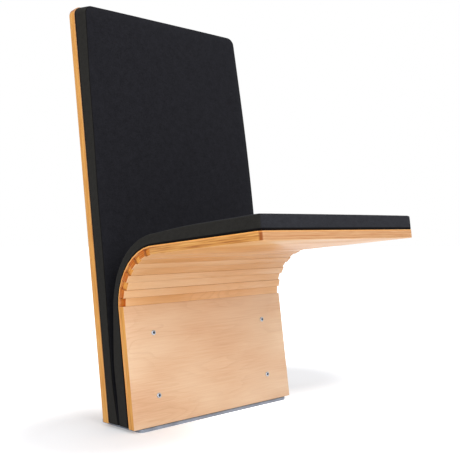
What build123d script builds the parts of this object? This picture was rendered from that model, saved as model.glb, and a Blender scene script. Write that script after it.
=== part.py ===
from build123d import *
import os
from math import cos, radians, sin, tan

os.makedirs("parts", exist_ok=True)

# A tip-up auditorium seat: a thin upright sandwich on a steel floor plate.
# Lengths are in millimetres and angles in degrees.  The origin is the centre of the floor
# plate's underside, +Z is up and the seat faces -Y.  "Forward" below means along -Y.

# Driving dimensions -------------------------------------------------------------------------
seat_width = 480          # panels, cushions and long slats
ply = 18                  # whole thickness of the wood in the panels and slats
flex_ply = 3              # of that, the flexible plywood that the slats are glued to
lean = 8.1                # backward lean of the lower panel and the back
seat_rise = 6.1           # rise of the seat from its rear to its front, when it is down
slat_count = 9
slat_pitch = 19.7         # along the spring sheet, from one bend line to the next
short_slat_inset = 6      # every other slat stops this far short of the sides
lower_panel_length = 254  # up the slope, on the spring sheet's side
seat_panel_length = 303
back_top = 924            # up the slope, from the lower panel's front bottom edge

plate_width = 450
plate_depth = 138
plate_thickness = 6
plate_corner = 10
plate_lip = 2             # the plate's front edge stands this far ahead of the lower panel
floor_gap = 1             # wood and cushions end this far above the plate
anchor_hole = 11
anchor_spacing = 160
anchor_edge = 15          # from the plate's rear edge to the row of anchor holes

sheet = 1                 # spring steel
sheet_width = 440
sheet_end_gap = 12        # the sheet stops this far above the plate
seat_sheet_length = 270

cushion_room = 34.65      # each cushion's room in the folded sandwich
cushion_inset = 1         # the cushions' sides stand in from the plywood's
cushion_edge_radius = 7
back_edge_radius = 10
cushion_gap = 0.3         # between neighbouring cushion strips
cushion_meeting_gap = 0.8 # between the two cushions where they meet at the floor
slat_gap = 0.1            # between closed slats
kerf_opening = 1.5        # the upper saw cut of every long slat stays open by this much

upright = 5               # steel plate of both uprights
front_upright_width = 400
front_upright_top = 238
rear_upright_width = 380
rear_upright_top = 660
gusset = 5
gusset_spacing = 170
slot_corner = 8           # of the slots that lighten the uprights

seat_corner = 12
back_corner = 20

bolt_diameter = 6
bolt_head = 11
bolt_head_height = 2.2
bolt_socket = 4
bolt_clearance = 0.6
bolt_column = 168         # from the middle to each column of bolts
lower_bolt_rows = (62, 193)
back_bolt_rows = (80, 330, 580)
nut_size = 10
nut_height = 5

# Worked-out values --------------------------------------------------------------------------
bend_count = slat_count + 1
bend_angle = (90 + lean - seat_rise) / bend_count
half_bend = radians(bend_angle / 2)
back_depth = ply + 2 * cushion_room           # from the lower panel's face to the back panel
lean_sine, lean_cosine = sin(radians(lean)), cos(radians(lean))
foot_forward = plate_depth / 2 - plate_lip    # the lower panel's front bottom edge
foot_height = plate_thickness


# Frames of reference ------------------------------------------------------------------------
def slope(along, depth):
    """Side-view point (forward, height): up the lean from the lower panel's front bottom edge,
    and back into the sandwich."""
    return (foot_forward - along * lean_sine - depth * lean_cosine,
            foot_height + along * lean_cosine - depth * lean_sine)


def foot(depth, height):
    """Side-view point where the layer at this depth reaches a height above the plate."""
    along = (height + depth * lean_sine) / lean_cosine
    return slope(along, depth)


def space(point, x=0):
    """A side-view point placed in space."""
    return Vector(x, -point[0], point[1])


def direction(angle):
    """Unit vector in the side view, turned up from straight ahead."""
    return Vector(0, -cos(radians(angle)), sin(radians(angle)))


def bend_points():
    """Side-view points of the bend lines, from the lower panel up to the seat."""
    points = [slope(lower_panel_length, ply)]
    for number in range(1, bend_count):
        angle = radians(90 + lean - bend_angle * number)
        last = points[-1]
        points.append((last[0] + slat_pitch * cos(angle), last[1] + slat_pitch * sin(angle)))
    return points


bends = bend_points()


def segment_angle(number):
    """Direction of travel of a piece: 0 is the lower panel, then the slats, then the seat."""
    return 90 + lean - bend_angle * number


def segment_point(number, along, outward):
    """Side-view point in the frame of a slat or of the seat: along it from its lower bend line,
    and outward to the cushion's side."""
    start = bends[number - 1]
    angle = radians(segment_angle(number))
    return (start[0] + along * cos(angle) - outward * sin(angle),
            start[1] + along * sin(angle) + outward * cos(angle))


def across(points, width, x=0):
    """Solid with this side outline, centred at x across the width."""
    view = Plane(origin=(x, 0, 0), x_dir=(0, -1, 0), z_dir=(-1, 0, 0))
    return extrude(view * make_face(Polyline(*points, close=True)), width / 2, both=True)


def lean_plane(along, depth, x=0):
    """Plane of the leaning layers: local x is the width, y runs up the slope, z forward."""
    forward = Vector(0, -lean_cosine, lean_sine)
    return Plane(origin=space(slope(along, depth), x), x_dir=(1, 0, 0), z_dir=forward)


def above_plate():
    """A block with its underside just above the floor plate, to trim a cushion's foot."""
    low = Align.MIN
    block = Box(600, 600, 1200, align=(Align.CENTER, Align.CENTER, low))
    return Pos(0, 0, foot_height + floor_gap) * block


def bolt_places(rows):
    return [(side * bolt_column, row) for row in rows for side in (-1, 1)]


def save(shape, name):
    export_step(shape, f"parts/{name}.step")


# Steel base ---------------------------------------------------------------------------------
def floor_plate():
    outline = RectangleRounded(plate_width, plate_depth, plate_corner)
    plate = extrude(outline, plate_thickness)
    row = plate_depth / 2 - anchor_edge
    for x in (-anchor_spacing, 0, anchor_spacing):
        plate -= Pos(x, row, 0) * extrude(Circle(anchor_hole / 2), plate_thickness)
    return plate


def upright_plate(front_depth, width, top, rows, slots):
    """One steel upright: a plate on the lean, with rounded top corners, bolt holes and
    slots that lighten it."""
    plate = across([foot(front_depth, 0), slope(top, front_depth),
                    slope(top, front_depth + upright), foot(front_depth + upright, 0)], width)
    corner = 20
    mask = extrude(lean_plane(top / 2 - 100, front_depth + upright)
                   * RectangleRounded(width, top + 200, corner), upright)
    plate &= mask
    for x, row in bolt_places(rows):
        hole = Circle((bolt_diameter + bolt_clearance) / 2)
        plate -= extrude(lean_plane(row, front_depth + upright, x) * hole, upright)
    for x, row, slot_width, slot_height in slots:
        slot = RectangleRounded(slot_width, slot_height, slot_corner)
        plate -= extrude(lean_plane(row, front_depth + upright, x) * slot, upright)
    return plate


def front_gusset_set():
    """Three tapered ribs behind the front upright, welded to it and to the plate."""
    near, low, high = ply + sheet + upright, 20, 6
    top = front_upright_top - 14
    outline = [foot(near, 0), slope(top, near), slope(top, near + high),
               slope(60, near + low), foot(near + low, 0)]
    return [across(outline, gusset, x) for x in (-gusset_spacing * 0.5, gusset_spacing * 0.5)]


def rear_gusset_set():
    """Two long tapered ribs in front of the rear upright."""
    near, low, high = back_depth - upright, 23, 8
    top = rear_upright_top - 20
    outline = [foot(near, 0), slope(top, near), slope(top, near - high),
               slope(90, near - low), foot(near - low, 0)]
    return [across(outline, gusset, x) for x in (-gusset_spacing * 0.7, gusset_spacing * 0.7)]


# Plywood ------------------------------------------------------------------------------------
def lower_panel():
    back = ply - flex_ply
    front_top = lower_panel_length - ply * tan(half_bend) - slat_gap / 2
    rear_top = lower_panel_length - flex_ply * tan(half_bend) - slat_gap / 2
    panel = across([foot(0, floor_gap), slope(front_top, 0), slope(rear_top, back),
                    foot(back, floor_gap)], seat_width)
    for x, row in bolt_places(lower_bolt_rows):
        hole = Circle((bolt_diameter + bolt_clearance) / 2)
        panel -= extrude(lean_plane(row, back, x) * hole, back)
    return panel


def back_panel():
    outline = [foot(back_depth, floor_gap), slope(back_top, back_depth),
               slope(back_top, back_depth + ply), foot(back_depth + ply, floor_gap)]
    panel = across(outline, seat_width)
    panel &= back_outline(back_depth + ply, ply, 0)
    for x, row in bolt_places(back_bolt_rows):
        hole = Circle((bolt_diameter + bolt_clearance) / 2)
        panel -= extrude(lean_plane(row, back_depth + ply, x) * hole, ply)
    return panel


def back_outline(rear_depth, thickness, inset):
    """Prism with the back's outline: straight sides and rounded top corners."""
    width = seat_width - 2 * inset
    height = back_top - inset + 200
    middle = back_top - inset - height / 2
    outline = RectangleRounded(width, height, back_corner)
    return extrude(lean_plane(middle, rear_depth) * outline, thickness)


def slat(number):
    """One slat, glued to the flexible plywood.  Its side faces taper so that they close on
    its neighbours when the seat is down.  Every other slat is short at both ends, and above
    each long one the saw cut stays open a little at the front."""
    short = number % 2
    near = flex_ply * tan(half_bend) + slat_gap / 2
    far = ply * tan(half_bend) + slat_gap / 2
    opening = 0 if short else kerf_opening
    outline = [segment_point(number, near, -flex_ply),
               segment_point(number, slat_pitch - near, -flex_ply),
               segment_point(number, slat_pitch - far - opening, -ply),
               segment_point(number, far, -ply)]
    return across(outline, seat_width - 2 * short_slat_inset * short)


def seat_prism(start_under, start_top, under, top, inset):
    """Prism over the seat's plan, with its rounded front corners."""
    number = bend_count
    length = seat_panel_length - inset
    outline = [segment_point(number, start_under, under), segment_point(number, start_top, top),
               segment_point(number, length, top), segment_point(number, length, under)]
    block = across(outline, seat_width - 2 * inset)
    plan = Plane(origin=space(segment_point(number, length - 400, under)), x_dir=(1, 0, 0),
                 z_dir=direction(segment_angle(number) + 90))
    mask = RectangleRounded(seat_width - 2 * inset, 800, seat_corner)
    return block & extrude(plan * mask, top - under)


def seat_panel():
    near, far = flex_ply * tan(half_bend), ply * tan(half_bend)
    return seat_prism(far + slat_gap / 2, near + slat_gap / 2, -ply, -flex_ply, 0)


# Flexible plywood ---------------------------------------------------------------------------
def flex_ply_foot():
    """The flexible plywood behind the lower panel."""
    front, top = ply - flex_ply, lower_panel_length - slat_gap / 2
    piece = across([foot(front, floor_gap), slope(top - flex_ply * tan(half_bend), front),
                    slope(top, ply), foot(ply, floor_gap)], seat_width)
    for x, row in bolt_places(lower_bolt_rows):
        hole = Circle((bolt_diameter + bolt_clearance) / 2)
        piece -= extrude(lean_plane(row, ply, x) * hole, flex_ply)
    return piece


def flex_ply_strip(number):
    """The stretch of flexible plywood behind one slat, between two bend lines."""
    near = flex_ply * tan(half_bend) + slat_gap / 2
    return across([segment_point(number, slat_gap / 2, 0),
                   segment_point(number, slat_pitch - slat_gap / 2, 0),
                   segment_point(number, slat_pitch - near, -flex_ply),
                   segment_point(number, near, -flex_ply)], seat_width)


def flex_ply_seat():
    """The flexible plywood over the seat panel."""
    near = flex_ply * tan(half_bend) + slat_gap / 2
    return seat_prism(near, slat_gap / 2, -flex_ply, 0, 0)


# Spring sheet -------------------------------------------------------------------------------
def lower_sheet():
    outline = [foot(ply, sheet_end_gap), slope(lower_panel_length - slat_gap / 2, ply),
               slope(lower_panel_length - slat_gap / 2, ply + sheet),
               foot(ply + sheet, sheet_end_gap)]
    piece = across(outline, sheet_width)
    for x, row in bolt_places(lower_bolt_rows):
        hole = Circle((bolt_diameter + bolt_clearance) / 2)
        piece -= extrude(lean_plane(row, ply + sheet, x) * hole, sheet)
    return piece


def sheet_strip(number, length):
    """The stretch of spring sheet behind one slat, or under the seat cushion."""
    outline = [segment_point(number, slat_gap / 2, 0),
               segment_point(number, length - slat_gap / 2, 0),
               segment_point(number, length - slat_gap / 2, sheet),
               segment_point(number, slat_gap / 2, sheet)]
    return across(outline, sheet_width)


# Cushions -----------------------------------------------------------------------------------
def cushion_section(plane, half_width, edge, crown, radius):
    """Cushion section: flat on its wooden side, upright at its sides, rounded at the edges
    and arched over to the crown in the middle."""
    corner = radius * (1 - cos(radians(45)))
    left_side = Line((-half_width, 0), (-half_width, edge - radius))
    left_round = ThreePointArc(left_side @ 1, (-half_width + corner, edge - corner),
                               (-half_width + radius, edge))
    arch = ThreePointArc(left_round @ 1, (0, crown), (half_width - radius, edge))
    right_round = ThreePointArc(arch @ 1, (half_width - corner, edge - corner),
                                (half_width, edge - radius))
    right_side = Line(right_round @ 1, (half_width, 0))
    base = Line(right_side @ 1, (-half_width, 0))
    return plane * make_face([left_side, left_round, arch, right_round, right_side, base])


def slope_section(along, depth, rearward, half_width, edge, crown, radius):
    """Section across the slope; its thickness runs rearward or forward from the layer."""
    sign = 1 if rearward else -1
    up = Vector(0, lean_sine, lean_cosine)
    plane = Plane(origin=space(slope(along, depth)), x_dir=(1, 0, 0), z_dir=up * sign)
    return cushion_section(plane, half_width, edge, crown, radius)


def lower_cushion():
    """The seat cushion's fixed stretch, behind the lower panel: full low down and thin at the
    bend, with a pocket for the front upright and its ribs."""
    half_width = seat_width / 2 - cushion_inset
    base = ply + sheet
    room = cushion_room - sheet - cushion_meeting_gap
    end = lower_panel_length - cushion_gap / 2
    shape = [(-20, room), (60, room + 1.4), (140, room + 1.8), (205, room - 5.5),
             (end, bend_cushion(0) - sheet)]
    sections = [slope_section(along, base, True, half_width, edge, edge + 0.3,
                              cushion_edge_radius) for along, edge in shape]
    body = loft(sections, ruled=True)
    body &= above_plate()
    margin = cushion_gap
    pocket = across([foot(base, -5), slope(front_upright_top + margin, base),
                     slope(front_upright_top + margin, base + upright),
                     foot(base + upright, -5)], front_upright_width + 2 * margin)
    body -= pocket
    near, low, high = base + upright, 20 + margin, 6 + margin
    top = front_upright_top - 14 + margin
    for x in (-gusset_spacing * 0.5, gusset_spacing * 0.5):
        body -= across([foot(near, -5), slope(top, near), slope(top, near + high),
                        slope(60, near + low), foot(near + low, -5)],
                       gusset + 2 * margin, x)
    for x, row in bolt_places(lower_bolt_rows):
        body -= extrude(lean_plane(row, near + nut_height + 4, x) * Circle(nut_size / 2 + 2),
                        nut_height + 4)
    return body


def bend_cushion(number):
    """Cushion thickness over the bend, measured from the slats: thin low down, and growing
    towards the seat."""
    return 22 + 3.5 * (number / bend_count) ** 3


def cushion_strip(number):
    """The stretch of cushion behind one slat.  Its ends are square, so that the strips close
    into a flat pad when the seat is folded up."""
    angle = segment_angle(number)
    plane = Plane(origin=space(segment_point(number, cushion_gap / 2, sheet)),
                  x_dir=(1, 0, 0), z_dir=direction(angle))
    edge = bend_cushion(number) - sheet
    section = cushion_section(plane, seat_width / 2 - cushion_inset, edge, edge + 1,
                              cushion_edge_radius)
    return extrude(section, slat_pitch - cushion_gap)


def seat_cushion():
    """The moving seat's cushion: crowned, with rounded front corners and front edge."""
    number = bend_count
    half_width = seat_width / 2 - cushion_inset
    start = bend_cushion(number)
    shape = [(cushion_gap / 2, start, start + 1), (70, 29, 30.5), (200, 29.5, 31),
             (seat_panel_length + 5, 29.5, 30.5)]
    sections = []
    for along, edge, crown in shape:
        plane = Plane(origin=space(segment_point(number, along, sheet)), x_dir=(1, 0, 0),
                      z_dir=direction(segment_angle(number)))
        sections.append(cushion_section(plane, half_width, edge - sheet, crown - sheet,
                                        cushion_edge_radius))
    body = loft(sections, ruled=True)
    return body & seat_prism(0, 0, sheet, 45, cushion_inset)


def back_cushion():
    """The back's cushion: full at the floor, thinner at its edges above, crowned in the middle,
    and drawn in and thinner again at its top edge."""
    half_width = seat_width / 2 - cushion_inset
    room = cushion_room - cushion_meeting_gap
    shape = [(-10, 0, room, room + 0.1), (60, 0, 30, 32.6), (140, 0, 27, 32.4),
             (220, 0, 27, 36), (480, 0, 31, 37.5), (740, 0, 31, 37), (850, 2, 30.5, 35),
             (back_top + 10, 6, 29, 31)]
    sections = [slope_section(along, back_depth, False, half_width - drawn_in, edge, crown,
                              back_edge_radius) for along, drawn_in, edge, crown in shape]
    body = loft(sections, ruled=True)
    body &= back_outline(back_depth, 60, cushion_inset)
    body &= above_plate()
    margin = cushion_gap
    near = back_depth - upright
    body -= across([foot(near - margin, -5), slope(rear_upright_top + margin, near - margin),
                    slope(rear_upright_top + margin, back_depth), foot(back_depth, -5)],
                   rear_upright_width + 2 * margin)
    low, high = 23 + 2 * margin, 8 + 2 * margin
    top = rear_upright_top - 20 + margin
    for x in (-gusset_spacing * 0.7, gusset_spacing * 0.7):
        body -= across([foot(near, -5), slope(top, near), slope(top, near - high),
                        slope(90, near - low), foot(near - low, -5)],
                       gusset + 2 * margin, x)
    for x, row in bolt_places(back_bolt_rows):
        body -= extrude(lean_plane(row, near, x) * Circle(nut_size / 2 + 2), nut_height + 4)
    return body


# Fasteners ----------------------------------------------------------------------------------
def bolt(length):
    """Low button head with a hexagon socket, seated at z = 0, and a shank downward."""
    radius, height = bolt_head / 2, bolt_head_height
    outline = [(0, 0), (radius, 0), (radius, 0.6), (radius * 0.7, height), (0, height)]
    head = revolve(Plane.XZ * make_face(Polyline(*outline, close=True)), Axis.Z)
    socket = RegularPolygon(bolt_socket / 2, 6, major_radius=False)
    head -= Pos(0, 0, bolt_head_height - 1.7) * extrude(socket, 2)
    shank = extrude(Circle((bolt_diameter - 0.1) / 2), -length)
    return head + shank


def nut(bore=bolt_diameter):
    return extrude(RegularPolygon(nut_size / 2, 6, major_radius=False) - Circle(bore / 2),
                   nut_height)


def lower_bolts():
    length = ply + sheet + upright + nut_height + 1
    return [lean_plane(row, 0, x) * bolt(length) for x, row in bolt_places(lower_bolt_rows)]


def lower_nuts():
    depth = ply + sheet + upright + nut_height
    return [lean_plane(row, depth, x) * nut() for x, row in bolt_places(lower_bolt_rows)]


def back_bolts():
    """The back panel's bolts come in from behind."""
    length = ply + upright + nut_height + 1
    turned = Rot(0, 180, 0)
    return [lean_plane(row, back_depth + ply, x) * turned * bolt(length)
            for x, row in bolt_places(back_bolt_rows)]


def back_nuts():
    return [lean_plane(row, back_depth - upright, x) * nut()
            for x, row in bolt_places(back_bolt_rows)]


# Assembly -----------------------------------------------------------------------------------
front_slots = [(x, 128, 44, 110) for x in (-115, 0, 115)]
rear_slots = [(x, row, 60, 150) for x in (-62, 62) for row in (205, 455)]

save(floor_plate(), "base_plate")
save(upright_plate(ply + sheet, front_upright_width, front_upright_top, lower_bolt_rows,
                   front_slots), "front_upright")
save(Compound(front_gusset_set()), "front_gussets")
save(upright_plate(back_depth - upright, rear_upright_width, rear_upright_top, back_bolt_rows,
                   rear_slots), "rear_upright")
save(Compound(rear_gusset_set()), "rear_gussets")
save(lower_panel(), "lower_panel")
save(back_panel(), "back_panel")
save(Compound(lower_bolts()), "lower_panel_bolts")
save(Compound(lower_nuts()), "lower_panel_nuts")
save(Compound(back_bolts()), "back_panel_bolts")
save(Compound(back_nuts()), "back_panel_nuts")
save(flex_ply_foot(), "flex_ply_foot")
save(lower_sheet(), "spring_sheet_foot")
save(lower_cushion(), "cushion_foot")
save(back_cushion(), "back_cushion")
for number in range(1, slat_count + 1):
    save(slat(number), f"slat_{number}")
    save(flex_ply_strip(number), f"flex_ply_strip_{number}")
    save(sheet_strip(number, slat_pitch), f"spring_sheet_strip_{number}")
    save(cushion_strip(number), f"cushion_strip_{number}")
save(seat_panel(), "seat_panel")
save(flex_ply_seat(), "flex_ply_seat")
save(sheet_strip(bend_count, seat_sheet_length), "spring_sheet_seat")
save(seat_cushion(), "seat_cushion")

for number, point in enumerate(bends):
    print("bend line", number, "at y", round(-point[0], 3), "z", round(point[1], 3))
print("bend angle", round(bend_angle, 3))
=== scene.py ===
# %% [markdown]
# # A tip-up auditorium seat
# The object is a thin upright sandwich on a steel plate: a plywood back, a black back cushion,
# a black seat cushion and a plywood lower panel.  Above the lower panel the wood is sawn into
# nine slats that are glued to one flexible sheet of plywood, so that the seat can curl down
# from the back.  The CAD model has every piece as a plain solid and knows how the seat moves.
# This lesson loads it as a fixed frame and builds the wood, the cushions and the bolts round
# it, each with its finish.

# %% Load the frame
from functools import partial
from math import cos, radians, sin, tan

import bpy
import numpy as np
from mathutils import Matrix, Vector


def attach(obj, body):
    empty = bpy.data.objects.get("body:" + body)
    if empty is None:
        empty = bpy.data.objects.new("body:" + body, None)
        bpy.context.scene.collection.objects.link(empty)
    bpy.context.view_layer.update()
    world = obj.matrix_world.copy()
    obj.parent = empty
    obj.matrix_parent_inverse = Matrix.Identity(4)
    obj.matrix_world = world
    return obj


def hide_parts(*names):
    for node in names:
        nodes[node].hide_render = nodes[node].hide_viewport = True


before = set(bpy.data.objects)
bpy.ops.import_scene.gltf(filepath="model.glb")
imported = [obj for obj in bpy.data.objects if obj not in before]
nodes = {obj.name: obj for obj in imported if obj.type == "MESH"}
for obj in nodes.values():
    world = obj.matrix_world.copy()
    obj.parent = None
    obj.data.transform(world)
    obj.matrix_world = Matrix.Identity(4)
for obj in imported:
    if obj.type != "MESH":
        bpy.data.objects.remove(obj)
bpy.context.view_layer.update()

# %% [markdown]
# ## The side view
# Everything follows from the side view of the sandwich, so its few sizes come first, the same
# as in the CAD model but in metres.  `slope` goes up the lean from the lower panel's front
# bottom edge and back into the sandwich.  From the top of the lower panel ten bend lines lead
# round to the seat, each turned by the same angle.  `lay` gives each stretch between them a
# flat local frame: X across the width, Y along the stretch and Z out through its wood to the
# front or underside.

# %% Sizes in metres
MM = 0.001
SEAT_WIDTH = 0.480
PLY = 0.018            # the wood's whole thickness, with the flexible plywood
FLEX_PLY = 0.003
LEAN = 8.1             # degrees
SEAT_RISE = 6.1        # degrees
PITCH = 0.0197         # from one bend line to the next
SHORT_INSET = 0.006    # odd slats stop this far short of the sides
LOWER_LENGTH = 0.254
SEAT_LENGTH = 0.303
BACK_TOP = 0.924       # up the lean
SEAT_CORNER = 0.012
BACK_CORNER = 0.020
CUSHION_ROOM = 0.03465  # of each cushion in the closed sandwich
PLATE_TOP = 0.006
FLOOR_GAP = 0.001      # between the plate and the wood and cushions
SAW_GAP = 0.0001       # between closed slats
KERF_OPENING = 0.0004  # of the saw cut above each even slat
SHADE_STRIP_THICKNESS = 0.0007        # the cushion's edge strip, painted near-black as shade, lapped over the flexible plywood's back
FOOT_FORWARD = 0.067   # the lower panel's front bottom edge, ahead of the plate's centre
TURN = (90 + LEAN - SEAT_RISE) / 10
BACK_DEPTH = PLY + 2 * CUSHION_ROOM
HALF_TURN = tan(radians(TURN / 2))
LEAN_SIN, LEAN_COS = sin(radians(LEAN)), cos(radians(LEAN))
print("each bend line turns", TURN, "degrees")


# %% Places in the side view
def slope(along, depth, x=0.0):
    """A point up the lean and back into the sandwich."""
    forward = FOOT_FORWARD - along * LEAN_SIN - depth * LEAN_COS
    return Vector((x, -forward, PLATE_TOP + along * LEAN_COS - depth * LEAN_SIN))


def foot(depth, height):
    """How far up the lean a layer is when it reaches this height above the plate."""
    return (height + depth * LEAN_SIN) / LEAN_COS


def heading(degrees):
    """Unit vector in the side view, turned up from straight ahead."""
    return Vector((0, -cos(radians(degrees)), sin(radians(degrees))))


def lay(degrees, origin):
    """Matrix of a flat local frame that heads this way from this point."""
    along = heading(degrees)
    front = Vector((1, 0, 0)).cross(along)
    matrix = Matrix((Vector((1, 0, 0)), along, front)).transposed().to_4x4()
    matrix.translation = origin
    return matrix


bends = [slope(LOWER_LENGTH, PLY)]
for number in range(1, 10):
    bends.append(bends[-1] + heading(90 + LEAN - TURN * number) * PITCH)
LOWER = lay(90 + LEAN, slope(0, PLY))
BACK = lay(90 + LEAN, slope(0, BACK_DEPTH))
SLATS = {k: lay(90 + LEAN - TURN * k, bends[k - 1]) for k in range(1, 10)}
SEAT = lay(SEAT_RISE, bends[9])
print("bend lines from", bends[0], "to", bends[9])

# %% [markdown]
# ## Helpers for modelling by hand
# An operator acts on whatever is selected, so each step first clears the selection and then
# picks vertices, edges or faces by their place.  `pick` leaves edit mode on with just those
# selected.  `settle` moves a finished mesh from its flat local frame to its place on the seat,
# and leaves the object itself at the origin, unturned and unscaled.


# %% Selecting and finishing
def start_cube(name):
    """A new unit cube, alone in the selection."""
    bpy.ops.object.select_all(action="DESELECT")
    bpy.ops.mesh.primitive_cube_add(size=1)
    piece = bpy.context.object
    piece.name = piece.data.name = name
    return piece


def alone(piece):
    """Make this the only selected object and the active one."""
    bpy.ops.object.select_all(action="DESELECT")
    piece.select_set(True)
    bpy.context.view_layer.objects.active = piece


def pick(piece, mode, test):
    """Edit mode with the vertices, edges or faces selected that pass the test."""
    alone(piece)
    bpy.ops.object.mode_set(mode="EDIT")
    bpy.ops.mesh.select_mode(type=mode)
    bpy.ops.mesh.select_all(action="DESELECT")
    bpy.ops.object.mode_set(mode="OBJECT")
    mesh = piece.data
    chosen = {"VERT": mesh.vertices, "EDGE": mesh.edges, "FACE": mesh.polygons}[mode]
    for element in chosen:
        element.select = bool(test(element))
    bpy.ops.object.mode_set(mode="EDIT")


def leave():
    bpy.ops.object.mode_set(mode="OBJECT")


def ends(piece, edge):
    """The two end points of an edge."""
    a, b = edge.vertices
    return piece.data.vertices[a].co, piece.data.vertices[b].co


def apply_modifier(piece, kind, **settings):
    """Add one modifier with these settings and apply it."""
    alone(piece)
    modifier = piece.modifiers.new(kind.title(), kind)
    for key, value in settings.items():
        setattr(modifier, key, value)
    bpy.ops.object.modifier_apply(modifier=modifier.name)


def soften_edges(piece, width, segments=2, angle=30):
    """Round every sharp edge a little, as sanding or pressing leaves it."""
    apply_modifier(piece, "BEVEL", width=width, segments=segments,
                   limit_method="ANGLE", angle_limit=radians(angle))


def smooth(piece, angle=35):
    alone(piece)
    bpy.ops.object.shade_smooth_by_angle(angle=radians(angle))


def settle(piece, matrix):
    """Move a finished piece to its place, in its mesh."""
    alone(piece)
    piece.matrix_world = matrix
    bpy.ops.object.transform_apply(location=True, rotation=True, scale=True)


def body_of_stretch(number):
    """The CAD body that a stretch rides on: 0 is the lower panel, 10 is the seat."""
    return {0: "frame", 10: "seat"}.get(number, f"bend_{number}")


print("modelling helpers ready")

# %% [markdown]
# ## Finishes: one way to build every node tree
# Each finish is a Principled shader with a few nodes in front of it.  Colours are written as
# the sRGB hex values that a photograph shows, and `colour` turns them to the linear values that
# shaders work in.  `add` puts one node in, sets it up, gives its inputs their values or links,
# and returns the output that the next node needs.  `finish_named` starts a material, and
# uniform numbers are set straight on the shader's own sockets.


# %% Colour and node helpers
def colour(hexcode):
    """sRGB hex to linear, with full alpha."""
    parts = [int(hexcode[i:i + 2], 16) / 255 for i in (1, 3, 5)]
    linear = [c / 12.92 if c <= 0.04045 else ((c + 0.055) / 1.055) ** 2.4 for c in parts]
    return (*linear, 1.0)


def add(tree, kind, inputs=(), out=0, stops=(), **settings):
    """One node.  Inputs, in order or by name, are values or sockets to link; stops fill a ramp."""
    node = tree.nodes.new("ShaderNode" + kind)
    for key, value in settings.items():
        setattr(node, key, value)
    for key, value in inputs.items() if isinstance(inputs, dict) else enumerate(inputs):
        if isinstance(value, bpy.types.NodeSocket):
            tree.links.new(value, node.inputs[key])
        else:
            node.inputs[key].default_value = value
    while stops and len(node.color_ramp.elements) < len(stops):
        node.color_ramp.elements.new(0.5)
    for index, (place, hexcode) in enumerate(stops):
        node.color_ramp.elements[index].position = place
        node.color_ramp.elements[index].color = colour(hexcode)
    return node.outputs[out]


def finish_named(name, **numbers):
    """A new material: its node adder, its shader, and a function that links to the shader."""
    material = bpy.data.materials.new(name)
    material.use_nodes = True
    tree = material.node_tree
    shader = tree.nodes["Principled BSDF"]
    for key, value in numbers.items():
        shader.inputs[key.replace("_", " ")].default_value = value

    def into(socket, value):
        tree.links.new(value, shader.inputs[socket])
    return material, partial(add, tree), into


print("node helpers ready")

# %% [markdown]
# ## Maple-faced plywood
# The panels and slats are maple-faced plywood under a clear satin lacquer.  The face veneer is
# peeled from a turning log, so its figure is a map of wandering contour lines that run across
# the seat, over fine fibres and soft bands of sheen.  An edge shows the plies: thin layers
# whose grain runs one way and then the other, so one takes more lacquer and looks darker.  Real
# plies are 1.5 mm thick; here they are 2 mm, so that they show.  The pattern has to stay with
# the piece wherever it leans, so each board carries its own place as an attribute, `board`:
# across, along and depth from its face, in metres.  `tone` shifts the face of one board from
# the next, and `end_tone` its sawn ends.  The same tree of nodes serves four woods: the pale
# lower panel and back, the warmer seat panel, the slats with their strongly coloured ends, and
# the bright flexible plywood.

# %% Plywood finish
PLY_LAYER = 2.0 * MM
FIGURE_STRENGTH = 0.22
FACE_DEPTH = 0.6 * MM


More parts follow.
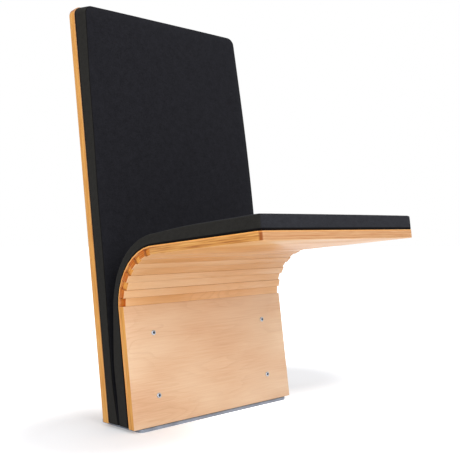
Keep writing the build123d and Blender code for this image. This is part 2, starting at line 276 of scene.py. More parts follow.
def maple_plywood(name, face, edge, end):
    """Face, edge and end are hex colours from light to dark; the fourth of face is its figure, and
    the fourth of end a rounded corner."""
    material, put, into = finish_named(name, IOR=1.5, Coat_Roughness=0.2)
    place = put("Attribute", out="Vector", attribute_name="board")
    tone = put("Attribute", out="Fac", attribute_name="tone")
    end_tone = put("Attribute", out="Fac", attribute_name="end_tone")
    depth = put("SeparateXYZ", (place,), out="Z")
    normal = put("TexCoord", out="Normal")
    sideways = put("Math", (put("SeparateXYZ", (normal,), out="X"),), operation="ABSOLUTE")

    # Figure of the peeled veneer: contour lines of a slow wandering field, about 15 mm apart
    slow = put("VectorMath", (place, (2.4, 12.0, 60.0)), operation="MULTIPLY")
    field = put("TexNoise", {"Vector": slow, "Scale": 1.0, "Detail": 2.5, "Roughness": 0.5,
                             "Distortion": 0.6})
    rings = put("Math", (put("Math", (field, 14.0), operation="MULTIPLY"),), operation="FRACT")
    latewood = put("MapRange", (rings, 0.55, 0.96, 0.0, 1.0))
    reset = put("MapRange", (rings, 0.96, 1.0, 1.0, 0.0))
    line = put("Math", (latewood, reset), operation="MULTIPLY")
    away = put("VectorMath", (place, (5.0, 14.0, 60.0)), operation="MULTIPLY")
    shown = put("MapRange", (put("TexNoise", (away, 0.0, 1.0)), 0.36, 0.64, 0.0,
                            FIGURE_STRENGTH))
    line = put("Math", (line, shown), operation="MULTIPLY")

    # Fibres about 2 mm wide and 60 mm long, streaks 4 mm by 140 mm, and patches 100 mm across
    along_grain = put("VectorMath", (place, (16.0, 560.0, 560.0)), operation="MULTIPLY")
    fibre = put("TexNoise", (along_grain, 0.0, 1.0, 3.0))
    streaks = put("VectorMath", (place, (7.0, 260.0, 260.0)), operation="MULTIPLY")
    streak = put("TexNoise", (streaks, 0.0, 1.0, 2.0))
    patches = put("VectorMath", (place, (4.0, 10.0, 10.0)), operation="MULTIPLY")
    broad = put("TexNoise", (patches, 0.0, 1.0, 1.0))
    level = put("Math", (fibre, 0.42, broad), operation="MULTIPLY_ADD")
    level = put("Math", (streak, 0.18, level), operation="MULTIPLY_ADD")
    level = put("Math", (level, tone), operation="ADD")
    level = put("MapRange", (level, 0.55, 1.05, 0.0, 1.0))
    veneer = put("ValToRGB", (level,), stops=((0.0, face[0]), (0.5, face[1]), (1.0, face[2])))
    veneer = put("Mix", {0: line, 6: veneer, 7: colour(face[3])}, out=2, data_type="RGBA")

    # Plies: layer by layer long grain or end grain, with a thin dark glue line between
    layer = put("Math", (depth, 1 / PLY_LAYER), operation="MULTIPLY")
    within = put("Math", (layer,), operation="FRACT")
    half = put("Math", (put("Math", (layer, 0.5), operation="MULTIPLY"),), operation="FRACT")
    odd = put("Math", (half, 0.5), operation="GREATER_THAN")
    on_side = put("Math", (sideways, 0.7), operation="GREATER_THAN")
    turned = put("Math", (put("Math", (odd, on_side), operation="SUBTRACT"),),
                 operation="ABSOLUTE")
    from_middle = put("Math", (put("Math", (within, 0.5), operation="SUBTRACT"),),
                      operation="ABSOLUTE")
    glue = put("MapRange", (from_middle, 0.38, 0.5, 0.0, 0.35))
    fine = put("VectorMath", (place, (40.0, 40.0, 1500.0)), operation="MULTIPLY")
    grain = put("TexNoise", (fine, 0.0, 1.0, 2.0))
    coarse = put("VectorMath", (place, (14.0, 14.0, 320.0)), operation="MULTIPLY")
    vein = put("TexNoise", (coarse, 0.0, 1.0, 1.0))
    shade = put("Math", (grain, 0.55, vein), operation="MULTIPLY_ADD")
    shade = put("Math", (turned, 0.16, shade), operation="MULTIPLY_ADD")
    shade = put("Math", (shade, end_tone), operation="ADD")
    shade = put("MapRange", (shade, 0.52, 1.22, 0.0, 1.0))
    front_edge = put("ValToRGB", (shade,), stops=((0.0, edge[0]), (0.5, edge[1]), (1.0, edge[2])))
    side_edge = put("ValToRGB", (shade,), stops=((0.0, end[0]), (0.5, end[1]), (1.0, end[2])))
    plies = put("Mix", {0: on_side, 6: front_edge, 7: side_edge}, out=2, data_type="RGBA")
    # Where a surface turns between side and front, as on a rounded corner, the colour darkens
    entering = put("MapRange", (sideways, 0.40, 0.60, 0.0, 1.0))
    leaving = put("MapRange", (sideways, 0.80, 0.95, 1.0, 0.0))
    corner = put("Math", (put("Math", (entering, leaving), operation="MULTIPLY"), 0.95),
                 operation="MULTIPLY")
    plies = put("Mix", {0: corner, 6: plies, 7: colour(end[3])}, out=2, data_type="RGBA")
    plies = put("Mix", {0: glue, 6: plies, 7: colour(end[2])}, out=2, data_type="RGBA")

    on_face = put("Math", (depth, FACE_DEPTH), operation="LESS_THAN")
    into("Base Color", put("Mix", {0: on_face, 6: plies, 7: veneer}, out=2, data_type="RGBA"))
    height = put("Math", (line, -0.6, fibre), operation="MULTIPLY_ADD")
    into("Normal", put("Bump", {"Height": height, "Strength": 0.12, "Distance": 0.3 * MM}))
    # Sawn edges drink the lacquer and stay matt
    into("Coat Weight", put("Math", (on_face, 0.12), operation="MULTIPLY"))
    into("Specular IOR Level", put("MapRange", (on_face, 0.0, 1.0, 0.15, 0.45)))
    gloss = put("Math", (fibre, broad), operation="ADD")
    into("Roughness", put("MapRange", (gloss, 0.7, 1.3, 0.36, 0.50)))
    return material


panel_ply = maple_plywood(
    "maple_plywood_satin_lacquer",
    ("#f0ceaa", "#e8bf98", "#dba981", "#c48a5c"),
    ("#dfb086", "#d19e72", "#c38556"), ("#e9b365", "#da9a4c", "#bd7a32", "#9c5826"))
seat_ply = maple_plywood(
    "maple_seat_satin_lacquer",
    ("#f5c68c", "#eeb674", "#e0a25e", "#c38a4d"),
    ("#d9a97c", "#cb986a", "#bd7f50"), ("#eab46a", "#d09049", "#9c5a26", "#8f4c1e"))
slat_ply = maple_plywood(
    "maple_slat_satin_lacquer",
    ("#f6c998", "#f0bb84", "#e5aa6c", "#c68a4e"),
    ("#d9a56c", "#c98d50", "#a9683a"), ("#eeae58", "#d28535", "#b4550c", "#8f4a1e"))
# The flexible plywood is a paler wood, and its edge colours are painted brighter still: a painted
# highlight along its thin edge
bending_ply = maple_plywood(
    "bending_plywood_satin_lacquer",
    ("#f3b87a", "#e6a25e", "#d48c48", "#b98550"),
    ("#ecb97e", "#e0a464", "#cf8d4a"), ("#ffc878", "#ffb45c", "#f59c42", "#c97a35"))
print("wood finishes:", *[finish.name for finish in (panel_ply, seat_ply, slat_ply, bending_ply)])

# %% [markdown]
# ## Boards
# Every wooden piece is a board: a cube drawn to width, whose four long edges are then moved to
# the corners of its side view.  That gives a panel its mitred top and a slat its wedge.  Plan
# corners are rounded where the real panel is, and all edges get the small radius that sanding
# leaves.


# %% Making one board
AWAY = 10


def write_place(piece, face_at, along_from, tone=0.0, end_tone=0.0):
    """Store across, along and depth from the face on each vertex, for the plywood finish."""
    mesh = piece.data
    mesh.attributes.new("board", "FLOAT_VECTOR", "POINT")
    mesh.attributes.new("tone", "FLOAT", "POINT")
    mesh.attributes.new("end_tone", "FLOAT", "POINT")
    for index, vertex in enumerate(mesh.vertices):
        x, y, z = vertex.co
        mesh.attributes["board"].data[index].vector = (x, y + along_from, abs(face_at - z))
        mesh.attributes["tone"].data[index].value = tone
        mesh.attributes["end_tone"].data[index].value = end_tone


def board(name, half_width, corners, corner_radius=0.0, edge=0.6 * MM):
    """Corners are (along, out) points: low back, high back, high front, low front."""
    piece = start_cube(name)
    pick(piece, "VERT", lambda v: True)
    bpy.ops.transform.resize(value=(2 * half_width, 1, 1))
    leave()
    # Each corner is set far AWAY, where picking the next one can't meet it, and comes back last
    signs = ((-1, -1), (1, -1), (1, 1), (-1, 1))
    for (sign_y, sign_z), (along, out) in zip(signs, corners):
        pick(piece, "VERT", lambda v, y=sign_y, z=sign_z:
             abs(v.co.y - 0.5 * y) < 1e-6 and abs(v.co.z - 0.5 * z) < 1e-6)
        bpy.ops.transform.translate(
            value=(0, along - 0.5 * sign_y + AWAY, out - 0.5 * sign_z))
        leave()
    pick(piece, "VERT", lambda v: True)
    bpy.ops.transform.translate(value=(0, -AWAY, 0))
    leave()
    if corner_radius:
        top = max(v.co.y for v in piece.data.vertices) - MM
        pick(piece, "EDGE", lambda e: all(p.y > top - 3 * MM for p in ends(piece, e))
             and abs(ends(piece, e)[0].z - ends(piece, e)[1].z) > MM)
        bpy.ops.mesh.bevel(offset=corner_radius, segments=10, affect="EDGES")
        leave()
    soften_edges(piece, edge)
    smooth(piece)
    return piece


def wood(piece, material, body, *replaced):
    """Give a wooden piece its finish and its body."""
    piece.data.materials.clear()
    piece.data.materials.append(material)
    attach(piece, body)
    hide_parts(*replaced)


# %% The panels
near, far = FLEX_PLY * HALF_TURN + SAW_GAP / 2, PLY * HALF_TURN + SAW_GAP / 2
lower_front = board("lower_panel_wood", SEAT_WIDTH / 2, [
    (foot(PLY - FLEX_PLY, FLOOR_GAP), FLEX_PLY), (LOWER_LENGTH - near, FLEX_PLY),
    (LOWER_LENGTH - far, PLY), (foot(0, FLOOR_GAP), PLY)])
write_place(lower_front, PLY, 0.0, -0.04)
settle(lower_front, LOWER)
wood(lower_front, panel_ply, "frame", "lower_panel")

seat_wood = board("seat_panel_wood", SEAT_WIDTH / 2, [
    (near, FLEX_PLY), (SEAT_LENGTH, FLEX_PLY), (SEAT_LENGTH, PLY), (far, PLY)],
    corner_radius=SEAT_CORNER)
write_place(seat_wood, PLY, 0.55, 0.05)
settle(seat_wood, SEAT)
wood(seat_wood, seat_ply, "seat", "seat_panel")

back_wood = board("back_panel_wood", SEAT_WIDTH / 2, [
    (foot(BACK_DEPTH + PLY, FLOOR_GAP), -PLY), (BACK_TOP, -PLY), (BACK_TOP, 0),
    (foot(BACK_DEPTH, FLOOR_GAP), 0)], corner_radius=BACK_CORNER)
write_place(back_wood, -PLY, 2.0, 0.0)
settle(back_wood, BACK)
wood(back_wood, panel_ply, "frame", "back_panel")
print("panels:", lower_front.name, seat_wood.name, back_wood.name)

# %% [markdown]
# ## Slats and the flexible plywood
# The nine slats stand on a 3 mm sheet of flexible plywood that runs in one piece from the floor
# to the front of the seat.  Odd slats stop 6 mm short of the sides, where the sheet shows
# behind them as a bright ledge, and above each even one the saw cut stays a little open.  Slats
# are cut from different boards, so every one has its own tone.  The cushion's edge strip, which
# is painted near-black as shade, laps over the sheet's back, so the sheet's own back face stands
# lower by that strip.

# %% The slats
SLAT_TONES = (0.04, -0.02, -0.12, 0.03, 0.06, -0.05, 0.12, -0.06, 0.02)
END_TONES = (0.30, 0.26, -0.24, 0.28, -0.16, 0.24, -0.20, 0.26, -0.04)
for number in range(1, 10):
    short = number % 2
    opening = 0 if short else KERF_OPENING
    slat = board(f"slat_wood_{number}", SEAT_WIDTH / 2 - SHORT_INSET * short, [
        (near, FLEX_PLY), (PITCH - near, FLEX_PLY), (PITCH - far - opening, PLY), (far, PLY)],
        edge=0.5 * MM)
    write_place(slat, PLY, 0.29 + 0.37 * number, SLAT_TONES[number - 1], END_TONES[number - 1])
    settle(slat, SLATS[number])
    wood(slat, slat_ply, body_of_stretch(number), f"slat_{number}")
print("nine slats")

# %% The flexible plywood
at_shade_strip = SHADE_STRIP_THICKNESS * HALF_TURN + SAW_GAP / 2
flex_foot = board("bending_ply_foot", SEAT_WIDTH / 2, [
    (foot(PLY - SHADE_STRIP_THICKNESS, FLOOR_GAP), SHADE_STRIP_THICKNESS), (LOWER_LENGTH - at_shade_strip, SHADE_STRIP_THICKNESS),
    (LOWER_LENGTH - near, FLEX_PLY), (foot(PLY - FLEX_PLY, FLOOR_GAP), FLEX_PLY)],
    edge=0.1 * MM)
write_place(flex_foot, FLEX_PLY, 0.0, 0.0)
settle(flex_foot, LOWER)
wood(flex_foot, bending_ply, "frame", "flex_ply_foot")
for number in range(1, 10):
    strip = board(f"bending_ply_{number}", SEAT_WIDTH / 2, [
        (at_shade_strip, SHADE_STRIP_THICKNESS), (PITCH - at_shade_strip, SHADE_STRIP_THICKNESS), (PITCH - near, FLEX_PLY), (near, FLEX_PLY)],
        edge=0.02 * MM)
    write_place(strip, FLEX_PLY, PITCH * number, 0.0)
    settle(strip, SLATS[number])
    wood(strip, bending_ply, body_of_stretch(number), f"flex_ply_strip_{number}")
flex_seat = board("bending_ply_seat", SEAT_WIDTH / 2, [
    (at_shade_strip, SHADE_STRIP_THICKNESS), (SEAT_LENGTH, SHADE_STRIP_THICKNESS), (SEAT_LENGTH, FLEX_PLY), (near, FLEX_PLY)],
    corner_radius=SEAT_CORNER, edge=0.1 * MM)
write_place(flex_seat, FLEX_PLY, 0.3, 0.0)
settle(flex_seat, SEAT)
wood(flex_seat, bending_ply, "seat", "flex_ply_seat")
print("flexible plywood in eleven stretches")

# %% [markdown]
# ## Black upholstery
# Both cushions are foam under one fine, dense, plain-woven wool, nearly black, which shows no
# shine, only a slight pale bloom where it turns away.  Its threads are about 0.8 mm apart,
# which is too fine for the picture, so they are drawn 1.6 mm apart.  A cushion carries five
# attributes for it.  `cloth` is the place on the flat cut cloth, so that the threads follow the
# cushion round its bend and over its edge, and `seam` marks the stitched line, painted near-black
# as the shade in its crease.  `band` is 1 on the side bands, painted lighter and warmer as light
# from the left falls on them, `nose` on the band across the end, painted paler and bluer as light
# from the front falls on it, and the last on a strip along the wood, painted near-black as the
# shade where cushion and wood meet.

# %% Upholstery finish
THREAD = 1.6 * MM


def woven_wool(name, front, band, nose, painted_shade_black):
    """Each pair of hex colours is the valleys of the weave and the tops of its yarn."""
    material, put, into = finish_named(name, Roughness=0.95, IOR=1.45, Specular_IOR_Level=0.1,
                                       Sheen_Weight=0.02, Sheen_Roughness=0.45)
    cloth = put("Attribute", out="Vector", attribute_name="cloth")
    seam = put("Attribute", out="Fac", attribute_name="seam")
    on_side = put("Attribute", out="Fac", attribute_name="band")
    on_nose = put("Attribute", out="Fac", attribute_name="nose")
    at_shade_strip = put("Attribute", out="Fac", attribute_name="shade_strip")
    threads = put("VectorMath", (cloth, (3.14159 / THREAD,) * 3), operation="MULTIPLY")
    waves = put("VectorMath", (threads,), operation="SINE")
    warp, weft = (put("SeparateXYZ", (waves,), out=axis) for axis in "XY")
    weave = put("Math", (warp, weft), operation="MULTIPLY")
    # Uneven yarn a few threads wide, and soft patches of nap about 12 mm across
    yarn = put("TexNoise", {"Vector": cloth, "Scale": 420.0, "Detail": 2.0})
    nap = put("TexNoise", {"Vector": cloth, "Scale": 85.0, "Detail": 2.0})
    level = put("Math", (weave, 0.12, yarn), operation="MULTIPLY_ADD")
    level = put("Math", (nap, 0.6, level), operation="MULTIPLY_ADD")
    level = put("MapRange", (level, 0.45, 1.15, 0.0, 1.0))
    panel = put("ValToRGB", (level,), stops=((0.0, front[0]), (1.0, front[1])))
    # Painted light: the side bands are lighter and warmer, as light from the left falls on them,
    # and the end band is paler and bluer, as light from the front falls on it
    strip = put("ValToRGB", (level,), stops=((0.0, band[0]), (1.0, band[1])))
    nose_painted_lit = put("ValToRGB", (level,), stops=((0.0, nose[0]), (1.0, nose[1])))
    tint = put("Mix", {0: on_side, 6: panel, 7: strip}, out=2, data_type="RGBA")
    tint = put("Mix", {0: on_nose, 6: tint, 7: nose_painted_lit}, out=2, data_type="RGBA")
    # Painted shade: the seam is near-black as the shade in its crease, and the strip along the
    # wood near-black as the shade where cushion meets wood
    sewn = put("MapRange", (seam, 0.1, 0.6, 0.0, 0.85))
    painted_shade_mask = put("Math", (sewn, at_shade_strip), operation="MAXIMUM")
    into("Base Color", put("Mix", {0: painted_shade_mask, 6: tint, 7: colour(painted_shade_black)}, out=2,
                           data_type="RGBA"))
    relief = put("Math", (yarn, 0.8, weave), operation="MULTIPLY_ADD")
    into("Normal", put("Bump", {"Height": relief, "Strength": 0.35, "Distance": 0.25 * MM}))
    return material


# After the front's pair come the side bands' and the end band's pairs, both painted light, and
# last the near-black of painted shade for the seam and the strip along the wood
upholstery = woven_wool("woven_wool_black", ("#16161a", "#242429"), ("#201f1d", "#2e2d2b"),
                        ("#252529", "#333439"), "#050506")
print("upholstery:", upholstery.name)

# %% [markdown]
# ## Cushions
# A cushion is a boxed pad: a front panel and a side band, sewn together along the rounded edge
# and stapled to the wood.  It starts as a cube drawn to size, its plan corners and its rim are
# bevelled, and cuts 8 mm apart give it enough mesh to bend.  The rim's middle loop is the seam.
# Then the pad takes its thickness, crown and drawn-in sides from the photograph, and a short
# cloth simulation, held along the seam and the wood, lets the front panel swell as foam presses
# it out.

# %% A flat pad
CELL = 8 * MM
RIM = 4 * MM
SLAB = 30 * MM
SEAM_DEPTH = 0.5 * MM
# Height of the cushion's near-black strip of painted shade along the wood
SHADE_STRIP_HEIGHT = 3.2 * MM


def flat_pad(name, half_width, length, corner_radius):
    """A closed slab: x across, y up along it from 0, z out from the wood, top corners rounded."""
    piece = start_cube(name)
    pick(piece, "VERT", lambda v: True)
    bpy.ops.transform.resize(value=(2 * half_width, length, SLAB))
    bpy.ops.transform.translate(value=(0, length / 2, SLAB / 2))
    leave()
    pick(piece, "EDGE", lambda e: all(p.y > length - MM for p in ends(piece, e))
         and abs(ends(piece, e)[0].z - ends(piece, e)[1].z) > MM)
    bpy.ops.mesh.bevel(offset=corner_radius, segments=8, affect="EDGES")
    leave()
    pick(piece, "EDGE", lambda e: all(p.z > SLAB - 0.1 * MM for p in ends(piece, e)))
    bpy.ops.mesh.bevel(offset=RIM, segments=6, affect="EDGES", clamp_overlap=False)
    leave()
    pick(piece, "EDGE", lambda e: all(p.z < 0.1 * MM for p in ends(piece, e)))
    bpy.ops.mesh.bevel(offset=1.5 * MM, segments=2, affect="EDGES", clamp_overlap=False)
    leave()
    slices = [((x, 0, 0), (1, 0, 0)) for x in steps(-half_width, half_width)]
    slices += [((0, y, 0), (0, 1, 0)) for y in steps(0, length)]
    slices += [((0, 0, z), (0, 0, 1)) for z in (SHADE_STRIP_HEIGHT, SHADE_STRIP_HEIGHT + 0.2 * MM, 9 * MM, 17 * MM)]
    for place, normal in slices:
        pick(piece, "VERT", lambda v: True)
        bpy.ops.mesh.bisect(plane_co=place, plane_no=normal)
        leave()
    return piece


def steps(low, high):
    """Places between two ends, about one cell apart."""
    count = round((high - low) / CELL)
    return [low + (high - low) * step / count for step in range(1, count)]


def read_points(piece):
    points = np.empty(len(piece.data.vertices) * 3)
    piece.data.vertices.foreach_get("co", points)
    return points.reshape(-1, 3)


def write_points(piece, points):
    piece.data.vertices.foreach_set("co", np.asarray(points, float).ravel())
    piece.data.update()


def mark_cloth(piece, half_width, length):
    """The attributes that the upholstery reads: cloth, seam, band, nose and the strip of painted
    shade.
    """
    mesh, points = piece.data, read_points(piece)
    x, y, z = points.T
    drop, past_side, past_end = SLAB - z, half_width - np.abs(x), length - y
    seam_at = RIM * (1 - cos(radians(45)))
    sewn = np.abs(drop - seam_at) < 0.2 * MM
    on_band = (drop > seam_at) & (past_side < 2 * RIM) & (past_side <= past_end)
    on_nose = (drop > seam_at) & (past_end < 2 * RIM) & (past_side > past_end)
    over_side = drop * (past_side < past_end)
    flat = np.stack([x + np.sign(x) * over_side, y + drop * (past_side >= past_end), z], 1)
    for name, kind, key, values in (("cloth", "FLOAT_VECTOR", "vector", flat),
                                    ("seam", "FLOAT", "value", sewn),
                                    ("band", "FLOAT", "value", on_band),
                                    ("nose", "FLOAT", "value", on_nose),
                                    ("shade_strip", "FLOAT", "value", z < SHADE_STRIP_HEIGHT + 0.1 * MM)):
        mesh.attributes.new(name, kind, "POINT")
        mesh.attributes[name].data.foreach_set(key, np.asarray(values, float).ravel())
    return int(sewn.sum())


print("flat pads ready")


# %% A pad's shape
def along_profile(stations, values):
    """A smooth curve through thicknesses at places along a pad."""
    stations, values = np.array(stations) * MM, np.array(values) * MM
    slopes = np.gradient(values, stations)

    def at(y):
        i = np.clip(np.searchsorted(stations, y) - 1, 0, len(stations) - 2)
        span = stations[i + 1] - stations[i]
        t = np.clip((y - stations[i]) / span, 0, 1)
        return (values[i] * (1 + 2 * t) * (1 - t) ** 2 + slopes[i] * span * t * (1 - t) ** 2
                + values[i + 1] * t * t * (3 - 2 * t) - slopes[i + 1] * span * t * t * (1 - t))
    return at


def shape_pad(piece, half_width, length, edge_at, crown_at, side_at, drawn_in, sunk):
    """Give the slab its real thickness, crown, drawn-in sides and tight seam, and let its
    edge strip of painted shade down over the wood."""
    x, y, z = read_points(piece).T
    sewn = np.empty(len(x))
    piece.data.attributes["seam"].data.foreach_get("value", sewn)
    edge, height = edge_at(y), z / SLAB
    body = np.clip(z / (SLAB - RIM), 0, 1) * (edge - RIM)
    rim = np.clip(z - (SLAB - RIM), 0, RIM)
    bulge = (crown_at(y) - edge) * (1 - (x / half_width) ** 2)
    outward = side_at(y) * height * np.abs(x) / half_width
    outward -= SEAM_DEPTH * sewn * (np.abs(x) > half_width - RIM)
    outside = (np.abs(x) > half_width - 9 * MM) | (y > length - 9 * MM)
    lowered = sunk * outside * np.clip(1 - z / SHADE_STRIP_HEIGHT, 0, 1)
    near_end = np.clip(1 - (length - y) / (60 * MM), 0, 1) ** 2
    write_points(piece, np.stack(
        [x + np.sign(x) * outward, y - drawn_in * height * near_end,
         body + rim + bulge * height - SEAM_DEPTH * sewn - lowered], 1))


def swell(piece, free, cap, frames=20):
    """Cloth under pressure, held where free is false; no point moves more than cap."""
    start = read_points(piece)
    held = piece.vertex_groups.new(name="held")
    held.add([int(i) for i in np.nonzero(~free)[0]], 1.0, "REPLACE")
    alone(piece)
    cloth = piece.modifiers.new("Cloth", "CLOTH")
    cloth.settings.quality = 5
    cloth.settings.use_pressure = True
    cloth.settings.uniform_pressure_force = 4.0
    cloth.settings.vertex_group_mass = "held"
    cloth.settings.effector_weights.gravity = 0
    cloth.point_cache.frame_start, cloth.point_cache.frame_end = 1, frames
    for step in range(1, frames + 1):
        bpy.context.scene.frame_set(step)
    bpy.ops.object.modifier_apply(modifier=cloth.name)
    bpy.context.scene.frame_set(1)
    moved = read_points(piece) - start
    distance = np.linalg.norm(moved, axis=1)
    kept = cap * np.tanh(distance / cap)
    share = np.divide(kept, distance, out=np.zeros_like(kept), where=distance > 1e-9)
    write_points(piece, start + moved * (share * free)[:, None])
    piece.vertex_groups.clear()
    return round(float(kept.max()) / MM, 2)


def rise_from_plate(piece, depth_of, fade=80 * MM):
    """Slant the pad's lower end so that it stands level above the plate."""
    points = read_points(piece)
    y, z = points[:, 1], points[:, 2]
    points[:, 1] = y + foot(depth_of(z), FLOOR_GAP) * np.clip(1 - y / fade, 0, 1)
    write_points(piece, points)


def upholstered(piece):
    piece.data.materials.clear()
    piece.data.materials.append(upholstery)
    smooth(piece, 50)
    print(piece.name, len(piece.data.polygons), "faces")


# %% [markdown]
# ## The back cushion
# It covers the whole back panel.  It is full at the floor, where the two cushions meet, 26 mm
# thick at the edges behind the bend and 31 to 34 mm above the seat, with a crown of 2 mm.
# Towards the top its sides are drawn in, and its two top corners are rounded with the panel's.

# %% The back cushion
HALF_PAD = 0.2392
BACK_PAD_LENGTH = BACK_TOP - MM
BACK_STATIONS = (0, 45, 90, 150, 215, 300, 370, 500, 630, 760, 830, 924)
back_edge = along_profile(
    BACK_STATIONS, (33.6, 29, 26, 26, 27.5, 30, 31.5, 33, 34, 32.5, 32, 31))
back_crown = along_profile(
    BACK_STATIONS, (33.6, 32.6, 32, 32.2, 34, 34.8, 35, 35.2, 35.4, 34.8, 34.2, 32.5))
back_side = along_profile(
    BACK_STATIONS, (0, 0, 0, 0, 0, 0.3, 0.8, 1.8, -0.5, -3.2, -6.0, -9.5))

back_pad = flat_pad("back_cushion_cover", HALF_PAD, BACK_PAD_LENGTH, BACK_CORNER)
print("seam points", mark_cloth(back_pad, HALF_PAD, BACK_PAD_LENGTH))
shape_pad(back_pad, HALF_PAD, BACK_PAD_LENGTH, back_edge, back_crown, back_side,
          4.6 * MM, 0)
shaped = read_points(back_pad)
print("swells by", swell(back_pad, shaped[:, 2] > back_edge(shaped[:, 1]) - 0.2 * RIM, 1.5 * MM))
apply_modifier(back_pad, "SUBSURF", levels=1, render_levels=1)
rise_from_plate(back_pad, lambda z: BACK_DEPTH - z)
settle(back_pad, BACK)
upholstered(back_pad)
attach(back_pad, "frame")
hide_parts("back_cushion")

# %% [markdown]
# ## The seat cushion
# One long pad is full at the floor, thins to 20 mm where the bend starts and is 29 mm thick at
# the front of the seat.  It is modelled flat, and then each point is carried to its place along
# the slope, the arc of the bend and the seat.  With the seat down the pad is stretched round
# the bend.  It is cut at the ten bend lines, and each length turns with the wood behind it, so
# that the pad lies straight when the seat is up, its cloth slightly ribbed where the foam is
# pressed together.

# %% The seat cushion, flat
SHEET = 1 * MM
ARC = radians(90 + LEAN - SEAT_RISE)
ARC_RADIUS = PITCH / 2 / HALF_TURN
ARC_START = LOWER_LENGTH - PITCH / 2
SEAT_PAD_LENGTH = ARC_START + ARC_RADIUS * ARC + SEAT_LENGTH - PITCH / 2 - 0.5 * MM
SEAT_STATIONS = (0, 75, 135, 170, 205, 264, 350, 450, 520, 650, 757)
seat_edge = along_profile(
    SEAT_STATIONS, (32.8, 33.4, 34.4, 31, 26.5, 19.8, 21, 24, 27.5, 28.5, 28.5))
seat_crown = along_profile(
    SEAT_STATIONS, (32.8, 33.6, 34.6, 31.3, 26.8, 20.2, 21.5, 24.7, 28.3, 29.6, 29.4))
seat_side = along_profile(SEAT_STATIONS, (0, 0, 0, 0, 0, -0.3, -0.5, -0.8, -0.8, -0.8, -0.8))

seat_pad = flat_pad("seat_cushion_flat", HALF_PAD, SEAT_PAD_LENGTH, 11 * MM)
print("seam points", mark_cloth(seat_pad, HALF_PAD, SEAT_PAD_LENGTH))
shape_pad(seat_pad, HALF_PAD, SEAT_PAD_LENGTH, seat_edge, seat_crown, seat_side,
          0, SHEET + SHADE_STRIP_THICKNESS - 0.1 * MM)
shaped = read_points(seat_pad)
print("swells by", swell(seat_pad, shaped[:, 2] > seat_edge(shaped[:, 1]) - 0.2 * RIM, 1.2 * MM))
apply_modifier(seat_pad, "SUBSURF", levels=1, render_levels=1)
rise_from_plate(seat_pad, lambda z: PLY + SHEET + z)


# %% Bend it round
def bend_round(piece):
    """Carry every point along the slope, round the arc and out over the seat."""
    points = read_points(piece)
    y, out = points[:, 1], points[:, 2] + SHEET
    start, behind = slope(ARC_START, PLY), -(LOWER.to_3x3() @ Vector((0, 0, 1)))
    centre = start - behind * ARC_RADIUS
    turned = np.clip((y - ARC_START) / ARC_RADIUS, 0, ARC)
    straight = np.minimum(y - ARC_START, 0) + np.maximum(y - ARC_START - ARC_RADIUS * ARC, 0)
    angle = radians(90 + LEAN) - turned
    radius = ARC_RADIUS + out
    points[:, 1] = centre.y + radius * np.sin(angle) - straight * np.cos(angle)
    points[:, 2] = centre.z + radius * np.cos(angle) + straight * np.sin(angle)
    write_points(piece, points)


bend_round(seat_pad)
print("seat cushion bent")


# %% Cut it at the bend lines
def cut_piece(name, number):
    """A copy of the pad between two bend lines, closed where it is cut."""
    piece = seat_pad.copy()
    piece.data = seat_pad.data.copy()
    piece.name = piece.data.name = name
    bpy.context.scene.collection.objects.link(piece)
    for line, keep_above in ((number, True), (number + 1, False)):
        if 1 <= line <= 10:
            pick(piece, "VERT", lambda v: True)
            bpy.ops.mesh.bisect(plane_co=bends[line - 1], use_fill=True,
                                plane_no=heading(90 + LEAN - TURN * (line - 0.5)),
                                clear_inner=keep_above, clear_outer=not keep_above)
            leave()
    return piece


for number in range(11):
    node = {0: "cushion_foot", 10: "seat_cushion"}.get(number, f"cushion_strip_{number}")
    piece = cut_piece(f"{node}_cover", number)
    upholstered(piece)
    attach(piece, body_of_stretch(number))
    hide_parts(node)
bpy.data.objects.remove(seat_pad)
print("seat cushion in eleven lengths")

# %% [markdown]
# ## Metals
# The bolts and nuts are bright zinc-plated steel, a little cloudy.  The sheet between wood and
# cushion is blued spring steel.  The floor plate, the uprights and their ribs are powder-coated
# a mid grey: baked paint with a fine orange-peel skin.


# %% Metal finishes
def plated(name, cloudy, clear, rough):
    material, put, into = finish_named(name, Metallic=1.0)
    place = put("TexCoord", out="Object")
    cloud = put("TexNoise", {"Vector": place, "Scale": 900.0, "Detail": 2.0})
    into("Base Color", put("ValToRGB", (cloud,), stops=((0.3, cloudy), (0.7, clear))))
    into("Roughness", put("MapRange", (cloud, 0.3, 0.7, rough - 0.06, rough + 0.06)))
    scratch = put("TexNoise", {"Vector": place, "Scale": 5000.0, "Detail": 1.0})
    into("Normal", put("Bump", {"Height": scratch, "Strength": 0.15, "Distance": 0.02 * MM}))
    return material


def powder_coat(name, dull, fresh):
    material, put, into = finish_named(name, IOR=1.5)
    place = put("TexCoord", out="Object")
    dust = put("TexNoise", {"Vector": place, "Scale": 35.0, "Detail": 3.0})
    into("Base Color", put("ValToRGB", (dust,), stops=((0.3, dull), (0.7, fresh))))
    into("Roughness", put("MapRange", (dust, 0.3, 0.7, 0.38, 0.52)))
    peel = put("TexNoise", {"Vector": place, "Scale": 700.0, "Detail": 1.0})
    into("Normal", put("Bump", {"Height": peel, "Strength": 0.25, "Distance": 0.15 * MM}))
    return material


zinc = plated("zinc_plated_steel", "#a0a8b3", "#c4cbd5", 0.3)
spring_steel = plated("blued_spring_steel", "#2c2f35", "#42464e", 0.35)
# The sockets' insides take a near-black that is painted shade of the hollow
socket_painted_shade = powder_coat("socket_painted_shade", "#08080a", "#121214")
plate_paint = powder_coat("grey_powder_coat", "#7f8896", "#98a2b2")
print("metals:", zinc.name, spring_steel.name, socket_painted_shade.name, plate_paint.name)

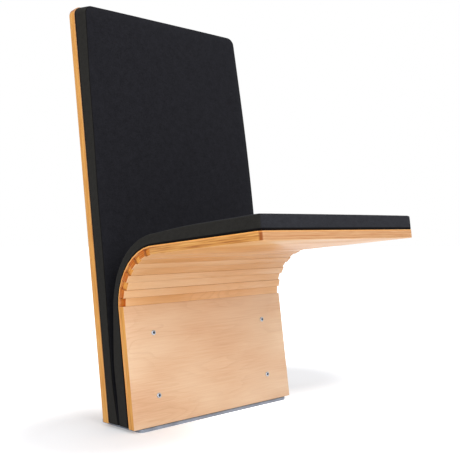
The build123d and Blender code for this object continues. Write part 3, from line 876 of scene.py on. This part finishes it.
# %% [markdown]
# ## Bolts
# Four low button-head bolts hold the lower panel to the steel behind it, and six more hold the
# back from behind.  Each has a turned head with a hexagon socket, its inside painted black as
# shade.
# The head is a cylinder with a wide bevel, and the socket is a hexagonal prism taken out of it.
# One head is modelled, and the rest are copies set in place.

# %% One bolt head
HEAD_RADIUS, HEAD_HEIGHT = 5.5 * MM, 2.2 * MM
SOCKET_RADIUS, SOCKET_FLOOR = 3.1 * MM, 0.6 * MM
bpy.ops.object.select_all(action="DESELECT")
bpy.ops.mesh.primitive_cylinder_add(vertices=48, radius=HEAD_RADIUS, depth=HEAD_HEIGHT,
                                    location=(0, 0, HEAD_HEIGHT / 2))
bolt = bpy.context.object
bpy.ops.object.transform_apply(location=True)
pick(bolt, "EDGE", lambda e: all(p.z > HEAD_HEIGHT - 0.2 * MM for p in ends(bolt, e)))
bpy.ops.mesh.bevel(offset=1.5 * MM, segments=5, affect="EDGES")
leave()
bpy.ops.object.select_all(action="DESELECT")
bpy.ops.mesh.primitive_cylinder_add(vertices=6, radius=SOCKET_RADIUS, depth=3.4 * MM,
                                    location=(0, 0, SOCKET_FLOOR + 1.7 * MM))
key = bpy.context.object
bpy.ops.object.transform_apply(location=True)
for finish in (zinc, socket_painted_shade):
    bolt.data.materials.append(finish)
apply_modifier(bolt, "BOOLEAN", object=key, operation="DIFFERENCE", solver="EXACT")
bpy.data.objects.remove(key)
# Faces inside the socket take the painted shade
for face in bolt.data.polygons:
    radii = [bolt.data.vertices[i].co.xy.length for i in face.vertices]
    face.material_index = int(max(radii) < SOCKET_RADIUS + 0.1 * MM)
smooth(bolt, 30)
print("bolt head", len(bolt.data.polygons), "faces")


# %% Two sets of bolts
def set_of_bolts(name, places, replaced):
    copies = []
    for place in places:
        copy = bolt.copy()
        copy.data = bolt.data.copy()
        bpy.context.scene.collection.objects.link(copy)
        settle(copy, place)
        copies.append(copy)
    alone(copies[0])
    for copy in copies:
        copy.select_set(True)
    bpy.ops.object.join()
    copies[0].name = copies[0].data.name = name
    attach(copies[0], "frame")
    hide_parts(replaced)
    print(name, len(places))


COLUMN = 0.168
LOWER_ROWS, BACK_ROWS = (0.062, 0.193), (0.080, 0.330, 0.580)
turned_back = Matrix.Rotation(radians(180), 4, "X")
set_of_bolts("lower_panel_bolt_heads",
             [LOWER @ Matrix.Translation((side * COLUMN, row, PLY))
              for row in LOWER_ROWS for side in (-1, 1)], "lower_panel_bolts")
set_of_bolts("back_panel_bolt_heads",
             [BACK @ Matrix.Translation((side * COLUMN, row, -PLY)) @ turned_back
              for row in BACK_ROWS for side in (-1, 1)], "back_panel_bolts")
bpy.data.objects.remove(bolt)

# %% [markdown]
# ## The steel that the CAD model already has right
# The floor plate, the two uprights with their ribs, the nuts and the spring sheet keep their
# CAD shapes and only take a finish.

# %% Finishes on CAD nodes
finished = []
for name, node in nodes.items():
    if node.hide_render:
        continue
    sheet, fastener = name.startswith("spring_sheet"), name.endswith("nuts")
    node.data.materials.clear()
    node.data.materials.append(spring_steel if sheet else zinc if fastener else plate_paint)
    finished.append(name)
print(len(finished), "CAD nodes finished:", *finished)

# %% [markdown]
# ## Floor, light and camera
# The photograph is a cut-out on white with a soft shadow close to the seat's two sides.  The
# floor is a plain pale disc that keeps that shadow.  For rays that reach it straight from the
# camera, or by a gloss, it adds light of its own, little of it round two fixed spots by the
# seat's sides and more farther out, so that it is white where nothing shades it.  Round those
# spots the floor is darker than the lamps alone make it: the lamps' own shadow and a painted
# shadow together.  The world is white to such rays and soft grey as a light.

# %% Floor and world
SEEN = ("Is Camera Ray", "Is Glossy Ray", "Is Transmission Ray")
LEFT_SHADOW, RIGHT_SHADOW = (-0.30, 0, 0), (0.42, 0.12, 0)
bpy.ops.object.select_all(action="DESELECT")
bpy.ops.mesh.primitive_circle_add(vertices=96, radius=14, fill_type="NGON")
floor = bpy.context.object
floor.name = floor.data.name = "studio_floor"
material, put, into = finish_named("pale_floor", Roughness=0.9, Specular_IOR_Level=0.0,
                                   Base_Color=colour("#dadbde"), Emission_Color=(1, 1, 1, 1))
direct = put("LightPath", out=SEEN[0])
for ray in SEEN[1:]:
    direct = put("Math", (direct, put("LightPath", out=ray)), operation="MAXIMUM")
here = put("TexCoord", out="Object")
# Painted shadow: the floor's own glow is held back round these two spots
from_left = put("VectorMath", (here, LEFT_SHADOW), out="Value", operation="DISTANCE")
from_right = put("VectorMath", (here, RIGHT_SHADOW), out="Value", operation="DISTANCE")
far = put("Math", (from_left, from_right), operation="MINIMUM")
extra = put("MapRange", (far, 0.10, 0.36, 0.22, 0.85), interpolation_type="SMOOTHSTEP")
into("Emission Strength", put("Math", (extra, direct), operation="MULTIPLY"))
floor.data.materials.append(material)

world = bpy.data.worlds.new("studio")
bpy.context.scene.world = world
world.use_nodes = True
put = partial(add, world.node_tree)
direct = put("LightPath", out=SEEN[0])
for ray in SEEN[1:]:
    direct = put("Math", (direct, put("LightPath", out=ray)), operation="MAXIMUM")
background = world.node_tree.nodes["Background"]
background.inputs["Color"].default_value = (1, 1, 1, 1)
world.node_tree.links.new(put("MapRange", (direct, 0.0, 1.0, 0.55, 1.0)),
                          background.inputs["Strength"])
print("floor and world ready")


# %% Lamps
def soft_lamp(name, place, target, size, power):
    data = bpy.data.lights.new(name, "AREA")
    data.shape, data.size, data.energy = "DISK", size, power
    lamp = bpy.data.objects.new(name, data)
    bpy.context.scene.collection.objects.link(lamp)
    lamp.visible_camera = False
    lamp.location = place
    lamp.rotation_euler = (Vector(target) - Vector(place)).to_track_quat("-Z", "Y").to_euler()
    print(name, power, "W")


soft_lamp("front_softbox", (-0.2, -2.5, 1.6), (0, 0, 0.35), 2.0, 35)
soft_lamp("left_softbox", (-3.0, -0.2, 1.5), (0, 0, 0.4), 2.0, 35)
soft_lamp("top_softbox", (0.2, -0.4, 3.4), (0, 0, 0.3), 2.6, 30)

# %% [markdown]
# ## Camera
# The photograph was taken almost level, from about 420 mm above the floor and 45 degrees round
# to the seat's right, as with a 62 mm lens.

# %% Camera
lens = bpy.data.cameras.new("camera")
lens.lens, lens.sensor_width = 62.09, 36
camera = bpy.data.objects.new("camera", lens)
bpy.context.scene.collection.objects.link(camera)
camera.location = (-1.2362, -1.3363, 0.4237)
camera.rotation_euler = Vector((0.7072, 0.7070, -0.0061)).to_track_quat("-Z", "Y").to_euler()
bpy.context.scene.camera = camera
bpy.context.scene.view_settings.view_transform = "Standard"
print("camera at", tuple(camera.location))
